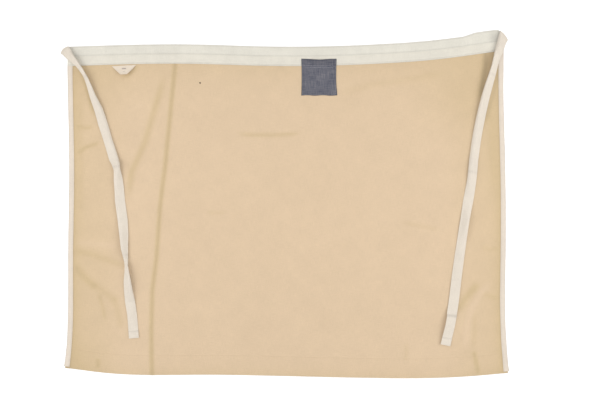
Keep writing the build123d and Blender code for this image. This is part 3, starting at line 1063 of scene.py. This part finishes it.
def tape_section(across, width, raised, lean):
    """A tape that lies in less than its own width: its left edge turned under, and the rest arched.

    raised is how far one edge stands up, and lean says which: -1 is the left one and 1 the right one."""
    flap = min(max(TAPE_WIDTH - width / ARCHED_SHARE, 0.0), TAPE_WIDTH / 2)
    some = min(1.0, flap / (3 * MM))
    round_by = FLAP_RADIUS * some + 1e-6
    reach = across - flap
    bend = np.sqrt(reach**2 + round_by**2)
    over = 0.5 + 0.5 * reach / bend
    span = bend - bend.min()
    share = span / span.max()
    arch = span.max() * math.sqrt(0.375 * max(span.max() / width - 1, 0))
    peak = 0.5 + 0.28 * lean
    profile = share ** (2 * peak) * (1 - share) ** (2 - 2 * peak)
    profile /= peak ** (2 * peak) * (1 - peak) ** (2 - 2 * peak)
    edge = max(lean, 0) * share**1.6 + max(-lean, 0) * (1 - share) ** 1.6
    height = arch * profile + over * FLAP_RISE * some + raised * edge
    return (share - 0.5) * width, height


def tie_points(line, lie_of_it, fold_angle):
    """The grid of a tie's cloth along its line, and the line of its middle."""
    at = lengths(line)
    normals = left_normals(line)
    across = np.linspace(0, TAPE_WIDTH, TIE_POINTS)
    over = math.radians(fold_angle)
    fold = np.array([math.cos(over), math.sin(over)])
    fold = fold if fold @ normals[0] > 0 else -fold
    lies = np.array(lie_of_it, float)[::-1]
    columns, middles = [], []
    for i, (x, y) in enumerate(line):
        width, aside, raised, lean, lift = (np.interp(y, lies[:, 0], lies[:, k]) for k in range(1, 6))
        spread, height = tape_section(across, width * MM, raised * MM, lean)
        start = 1 - ease(at[i], 0, TURNS_OVER)
        sideways = normals[i] * (1 - start) + fold * FOLD_SPREAD * start
        place = np.array([x, y]) + np.outer(spread + aside * MM * (1 - start), sideways)
        ripple = RIPPLE * (1 + math.sin(at[i] / RIPPLE_LENGTH))
        lying = upper_surface(place[:, 0], place[:, 1]) + TAPE / 2 + 0.25 * MM
        bunched = ease(at[i], 1 * MM, 8 * MM) * (1 - ease(at[i], 24 * MM, 58 * MM))
        wrinkled = bunched * 1.1 * MM * (1 + drift(place[:, 0], place[:, 1], size=7 * MM, seed=6.6))
        z = lying + height + lift * MM + ripple + wrinkled
        flat_start = 1 - ease(at[i], 0, FLAT_START)
        z = z * (1 - flat_start) + z.mean() * flat_start
        columns.append(np.column_stack([place, z]))
        middles.append([x, y, z[len(z) // 2]])
    grid = np.array(columns)
    grid[:, :, 1] += gather(grid[:, :, 0], grid[:, :, 1])
    grid[:, :, 2] += ease(at, at[-1] - TIE_HEM - 1 * MM, at[-1] - TIE_HEM)[:, None] * 0.5 * MM
    return grid, np.array(middles)


def make_tie(name, route, lie_of_it, creases, fold_angle, node, body):
    """A limp tape along its route; lie_of_it says how it lies at each height up the apron."""
    line = route_points(name + "_route", route, 300)
    grid, middle = tie_points(line, lie_of_it, fold_angle)
    at = lengths(line)
    across = np.linspace(0, TAPE_WIDTH, TIE_POINTS)
    flat = np.stack(np.meshgrid(across, at), axis=-1)[:, :, ::-1]
    # Painted shade: darker where the tie bunches at its start, along its end's stitch row and across its
    # creases
    shade = 1 - 0.06 * (1 - ease(at, 12 * MM, 60 * MM))
    shade -= 0.14 * bell(at - at[-1] + TIE_HEM, 1.4 * MM)
    for height, darker in creases:
        shade -= darker * bell(line[:, 1] - height, 3 * MM)
    cloth = cloth_piece(
        name, grid[:, ::-1], flat[:, ::-1], TAPE, WOVEN_TAPE, node, body, shade=shade[:, None]
    )
    return cloth, grid, middle


# How each tie lies, from its top down: height up the apron in metres, then in mm its width as it lies,
# how far it is aside of its route, how far one edge stands up; which edge, -1 to 1; and its lift in mm
LEFT_TIE_LIE = [
    (0.360, 20.0, 0.0, 3.0, 0.8, 0.0),
    (0.335, 11.0, 0.5, 6.0, 0.9, 1.2),
    (0.311, 8.5, 0.5, 6.0, 0.9, 2.0),
    (0.287, 11.0, 0.0, 4.0, 0.9, 2.2),
    (0.260, 15.0, -1.2, 2.0, 0.8, 1.6),
    (0.227, 20.5, 1.0, 0.8, 0.6, 0.8),
    (0.195, 22.5, 0.0, 0.5, 0.5, 0.2),
    (0.155, 21.0, 0.0, 1.0, 0.5, 0.2),
    (0.110, 22.5, 1.5, 1.5, 0.8, 0.6),
    (0.096, 19.5, 3.6, 3.0, 0.8, 1.4),
    (0.083, 16.0, 3.2, 2.0, 0.4, 1.2),
    (0.059, 21.5, 1.1, 1.8, -0.7, 0.4),
    (0.011, 23.5, -1.7, 2.0, -0.8, 0.2),
    (-0.037, 23.5, 1.4, 2.2, -0.8, 0.3),
    (-0.073, 21.0, 1.2, 2.8, -0.8, 0.5),
    (-0.105, 16.5, -0.8, 3.2, -0.8, 0.8),
    (-0.135, 9.5, -0.8, 4.5, 0.0, 1.4),
    (-0.145, 8.7, -1.0, 5.5, 0.9, 1.2),
    (-0.160, 11.5, -1.6, 6.0, 0.9, 0.8),
    (-0.181, 17.5, -2.8, 4.5, 0.9, 0.6),
    (-0.205, 21.0, -2.8, 2.5, 0.8, 0.4),
    (-0.232, 24.0, -1.4, 1.0, 0.6, 0.2),
    (-0.265, 23.0, 0.8, 0.6, -0.5, 0.0),
    (-0.320, 24.0, 0.6, 0.3, 0.5, 0.0),
]
RIGHT_TIE_LIE = [
    (0.400, 20.0, 0.0, 1.0, -0.7, 0.0),
    (0.372, 20.5, 1.0, 1.6, -0.7, 0.0),
    (0.364, 19.5, 0.8, 3.5, -0.9, 0.4),
    (0.352, 17.5, 0.4, 9.5, -0.9, 0.8),
    (0.330, 16.5, 1.2, 10.5, -0.9, 0.8),
    (0.311, 18.0, 0.8, 9.5, -0.9, 0.6),
    (0.285, 20.0, -0.6, 7.5, -0.9, 0.4),
    (0.250, 20.5, -1.8, 3.5, -0.9, 0.4),
    (0.203, 21.3, -2.0, 1.2, -0.7, 0.3),
    (0.155, 21.5, -2.6, 0.6, -0.5, 0.2),
    (0.107, 21.5, -2.8, 0.6, -0.5, 0.2),
    (0.078, 22.0, -1.0, 1.2, -0.5, 0.9),
    (0.059, 22.0, 0.4, 0.6, -0.5, 0.2),
    (0.011, 24.0, 1.0, 0.3, 0.5, 0.0),
    (-0.030, 21.5, 0.8, 3.0, 0.9, 0.4),
    (-0.055, 21.5, 0.8, 3.4, 0.9, 0.4),
    (-0.090, 22.5, 1.2, 0.8, 0.5, 0.0),
    (-0.180, 24.0, 0.0, 0.3, 0.5, 0.0),
    (-0.245, 24.0, 0.0, 0.6, 0.5, 0.8),
    (-0.260, 24.0, -0.4, 1.5, -0.5, 3.0),
    (-0.267, 24.0, 0.6, 6.0, -0.9, 1.0),
    (-0.289, 24.0, 0.4, 7.5, -0.9, 0.8),
    (-0.315, 24.0, -0.8, 4.5, -0.9, 0.2),
    (-0.345, 24.0, -1.2, 1.5, -0.6, 0.0),
]

# Creases across each tie: height up the apron, and how much painted shade darkens the tape there
LEFT_CREASES = [(0.326, 0.07), (0.306, 0.08), (0.090, 0.09), (-0.120, 0.08)]
RIGHT_CREASES = [(0.312, 0.08), (0.078, 0.07), (-0.266, 0.17)]


# ---------------------------------------------------------------- folds, where the waist tape becomes a tie


FOLD_HALF_LENGTH = 14.2 * MM


def make_fold(name, corner, angle, bulge, tie_grid):
    """The rounded fold at a corner, where the waist tape turns into its tie."""
    over = math.radians(angle)
    along = np.array([math.cos(over), math.sin(over)])
    normal = np.array([-math.sin(over), math.cos(over)])
    low_z = float(tape_height(np.array([corner[0]]), np.array([corner[1]]))[0])
    high_z = float(np.median(tie_grid[0, :, 2]))
    reach = (high_z - low_z) / 2
    turns = np.linspace(-math.pi / 2, math.pi / 2, 9)
    rows = []
    for t in np.linspace(-FOLD_HALF_LENGTH, FOLD_HALF_LENGTH, 14):
        out = 0.3 * MM + (reach + bulge) * (1 - (t / FOLD_HALF_LENGTH) ** 2)
        place = np.array(corner) + along * t + np.outer(np.cos(turns), normal * out)
        rows.append(np.column_stack([place, low_z + reach * (1 + np.sin(turns))]))
    grid = np.array(rows)
    grid[:, :, 1] += gather(grid[:, :, 0], grid[:, :, 1])
    flat = np.stack(np.meshgrid(turns * reach, np.linspace(0, 2 * FOLD_HALF_LENGTH, 14)), axis=-1)
    # Painted shade: the fold is a tenth darker
    piece = grid_mesh(name, grid, flat, 0.90)
    thicken(piece, 0.5 * MM)
    piece.data.materials.append(WOVEN_TAPE)
    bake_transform(piece)
    return piece


# ---------------------------------------------------------------- stitches

THREAD_RADIUS = 0.17 * MM

# How high a row's thread is above the middle of the cloth or the tape, which it draws in
SUNK_IN_CLOTH = CLOTH / 2 - 0.14 * MM
SUNK_IN_TAPE = TAPE / 2 - 0.10 * MM


def model_stitch():
    """One lock stitch: a short thread along x that dips into the cloth at both ends."""
    bpy.ops.object.select_all(action="DESELECT")
    bpy.ops.mesh.primitive_cylinder_add(
        vertices=6,
        radius=THREAD_RADIUS,
        depth=STITCH_PITCH / 2,
        end_fill_type="NGON",
        rotation=(0, math.pi / 2, 0),
    )
    stitch = bpy.context.object
    bpy.ops.object.transform_apply(location=False, rotation=True, scale=True)
    bpy.ops.object.mode_set(mode="EDIT")
    bpy.ops.mesh.select_mode(type="FACE")
    for side in (-1, 1):
        for move, size in ((0.35, 0.9), (0.25, 0.6)):
            bpy.ops.mesh.select_all(action="DESELECT")
            bpy.ops.object.mode_set(mode="OBJECT")
            ends = [face for face in stitch.data.polygons if abs(face.normal.x) > 0.8]
            max(ends, key=lambda face: face.center.x * side).select = True
            bpy.ops.object.mode_set(mode="EDIT")
            bpy.ops.mesh.extrude_region_move(
                TRANSFORM_OT_translate={"value": (side * move * MM, 0, -0.5 * move * MM)}
            )
            bpy.ops.transform.resize(value=(1, size, size))
    bpy.ops.object.mode_set(mode="OBJECT")
    bpy.ops.object.shade_smooth()
    bpy.ops.transform.translate(value=(STITCH_PITCH / 2, 0, 0))
    bpy.ops.object.transform_apply(location=True)
    return stitch


def guide_curve(name, path):
    """A curve through a row's points."""
    curve = bpy.data.curves.new(name, "CURVE")
    curve.dimensions = "3D"
    curve.twist_mode = "Z_UP"
    spline = curve.splines.new("POLY")
    spline.points.add(len(path) - 1)
    for point, place in zip(spline.points, path):
        point.co = (*place, 1)
    guide = bpy.data.objects.new(name, curve)
    bpy.context.scene.collection.objects.link(guide)
    return guide


def sew_along(name, path):
    """Copies of the stitch along one path."""
    guide = guide_curve(f"{name}_path", path)
    part = STITCH.copy()
    part.data = STITCH.data.copy()
    part.name = name
    bpy.context.scene.collection.objects.link(part)
    only(part)
    run = lengths(np.array(path))[-1]
    repeat = part.modifiers.new("repeat", "ARRAY")
    repeat.fit_type = "FIXED_COUNT"
    repeat.count = max(2, int(run / STITCH_PITCH))
    repeat.use_relative_offset = False
    repeat.use_constant_offset = True
    repeat.constant_offset_displace = (run / repeat.count, 0, 0)
    follow = part.modifiers.new("follow", "CURVE")
    follow.object = guide
    bpy.ops.object.modifier_apply(modifier=repeat.name)
    bpy.ops.object.modifier_apply(modifier=follow.name)
    bpy.data.objects.remove(guide)
    return part


def sew_row(name, paths, node, material, body="apron"):
    """A row of stitches along each path, as one piece that stands for a CAD row."""
    parts = [sew_along(f"{name}_{k}", path) for k, path in enumerate(paths)]
    bpy.ops.object.select_all(action="DESELECT")
    for part in parts:
        part.select_set(True)
    bpy.context.view_layer.objects.active = parts[0]
    if len(parts) > 1:
        bpy.ops.object.join()
    row = parts[0]
    row.name = name
    stand_for(row, material, node, body)
    return row


def on_height(line, height, above):
    """A flat line, set on a height rule."""
    count = max(3, int(lengths(line)[-1] / STITCH_PITCH))
    line = resample(line, count)
    return np.column_stack([line, height(line[:, 0], line[:, 1]) + above])


def sew_waistband():
    """The row along the waistband's lower edge."""
    line = clip_line(along_waistband(BAND_ROW), between_sides, 300, margin=2 * MM)
    sew_row("band_row", [on_height(line, band_front, SUNK_IN_CLOTH)], "waistband_stitching", CREAM_THREAD)


def sew_tape():
    """The two rows along the waist tape, drawn up with it at the left corner."""
    for name, down in zip(("upper", "lower"), TAPE_ROWS):
        line = clip_line(along_waistband(BAND_HALF - down), inside_both_folds, 300, margin=2 * MM)
        path = on_height(line, tape_height, SUNK_IN_TAPE)
        path[:, 1] += gather(path[:, 0], path[:, 1])
        sew_row(f"tape_{name}_row", [path], f"waist_tape_{name}_stitching", CREAM_THREAD)


def sew_hem():
    """The row along the hem, from binding to binding."""
    line = clip_line(set_off(HEM, HEM_ROW), between_sides, 300, margin=BINDING_WIDTH + 1.5 * MM)
    sew_row("hem_row", [on_height(line, panel_middle, SUNK_IN_CLOTH)], "hem_stitching", TAN_THREAD)


def sew_binding(name, side, inward):
    """The row along one side binding."""
    line = clip_line(set_off(side, inward * BINDING_ROW), between_hem_and_band, 250)
    path = on_height(line, binding_front, SUNK_IN_CLOTH)
    sew_row(f"{name}_binding_row", [path], f"{name}_binding_stitching", CREAM_THREAD)


def sew_pocket():
    """The pocket's rows: down, across and up its three sewn edges, and two along its mouth."""
    on_cloth = CLOTH / 2 - 0.02 * MM
    side, low = POCKET_WIDTH / 2 - 2 * MM, POCKET_HEIGHT - 2 * MM
    corners = [(-side, -1 * MM), (-side, -low), (side, -low), (side, -1 * MM)]
    corners = [np.array([POCKET_X + x, POCKET_TOP + y]) for x, y in corners]
    seams = [on_height(np.array([a, b]), pocket_height, on_cloth) for a, b in zip(corners[:-1], corners[1:])]
    sew_row("pocket_seam_row", seams, "pocket_seam_stitching", BLUE_THREAD)
    reach = POCKET_WIDTH / 2 - 5 * MM
    rows = []
    for drop in MOUTH_ROWS:
        ends = [(POCKET_X - reach, POCKET_TOP - drop), (POCKET_X + reach, POCKET_TOP - drop)]
        rows.append(on_height(np.array(ends), pocket_height, on_cloth + 0.02 * MM))
    sew_row("pocket_mouth_row", rows, "pocket_mouth_stitching", BLUE_THREAD)


def between_tape_edges(line):
    """How far inside the waist tape's two edges a line's points are."""
    above = line[:, 1] - waist_y(line[:, 0])
    return np.minimum(above - BAND_HALF + TAPE_WIDTH, BAND_HALF - above)


def sew_anchor(name, side, inward):
    """The two short rows across the waist tape at one end."""
    lines = [set_off(side, inward * far) for far in ANCHOR_ROWS]
    lines = [clip_line(line, between_tape_edges, 12, margin=4 * MM) for line in lines]
    rows = [on_height(line, tape_height, TAPE / 2 - 0.03 * MM) for line in lines]
    sew_row(f"{name}_anchor_rows", rows, f"{name}_tie_anchor_stitching", CREAM_THREAD)


def sew_tie_end(name, grid, body):
    """The row across a tie's turned end."""
    at = lengths(grid[:, grid.shape[1] // 2])
    index = int(np.searchsorted(at, at[-1] - TIE_HEM + 1.5 * MM))
    path = grid[index, 3:-3] + [0, 0, TAPE / 2]
    return sew_row(f"{name}_tie_end_row", [path], f"{name}_tie_end_stitching", CREAM_THREAD, body)


# ---------------------------------------------------------------- putting it together

light_the_room()
lay_floor()

STITCH = model_stitch()

LEFT_TIE, LEFT_GRID, LEFT_MIDDLE = make_tie(
    "left_tie_cloth",
    LEFT_TIE_ROUTE,
    LEFT_TIE_LIE,
    LEFT_CREASES,
    LEFT_FOLD_ANGLE,
    "left_tie",
    "left_tie_tape",
)
RIGHT_TIE, RIGHT_GRID, RIGHT_MIDDLE = make_tie(
    "right_tie_cloth",
    RIGHT_TIE_ROUTE,
    RIGHT_TIE_LIE,
    RIGHT_CREASES,
    RIGHT_FOLD_ANGLE,
    "right_tie",
    "right_tie_tape",
)
LEFT_END = sew_tie_end("left", LEFT_GRID, "left_tie_tape")
RIGHT_END = sew_tie_end("right", RIGHT_GRID, "right_tie_tape")

PANEL = make_panel()
BAND = make_waistband()
WAIST_TAPE = make_waist_tape()
LEFT_BINDING = make_binding("left_binding_cotton", LEFT, 1, "left_side_binding")
RIGHT_BINDING = make_binding("right_binding_cotton", RIGHT, -1, "right_side_binding")
POCKET = make_pocket()
LABEL = make_label()
make_fold("left_corner_fold", LEFT_CORNER, LEFT_FOLD_ANGLE, 2.5 * MM, LEFT_GRID)
make_fold("right_corner_fold", RIGHT_CORNER, RIGHT_FOLD_ANGLE, 0.0, RIGHT_GRID)
sew_waistband()
sew_tape()
sew_hem()
sew_binding("left", LEFT, 1)
sew_binding("right", RIGHT, -1)
sew_pocket()
sew_anchor("left", LEFT, 1)
sew_anchor("right", RIGHT, -1)
bpy.data.objects.remove(STITCH)
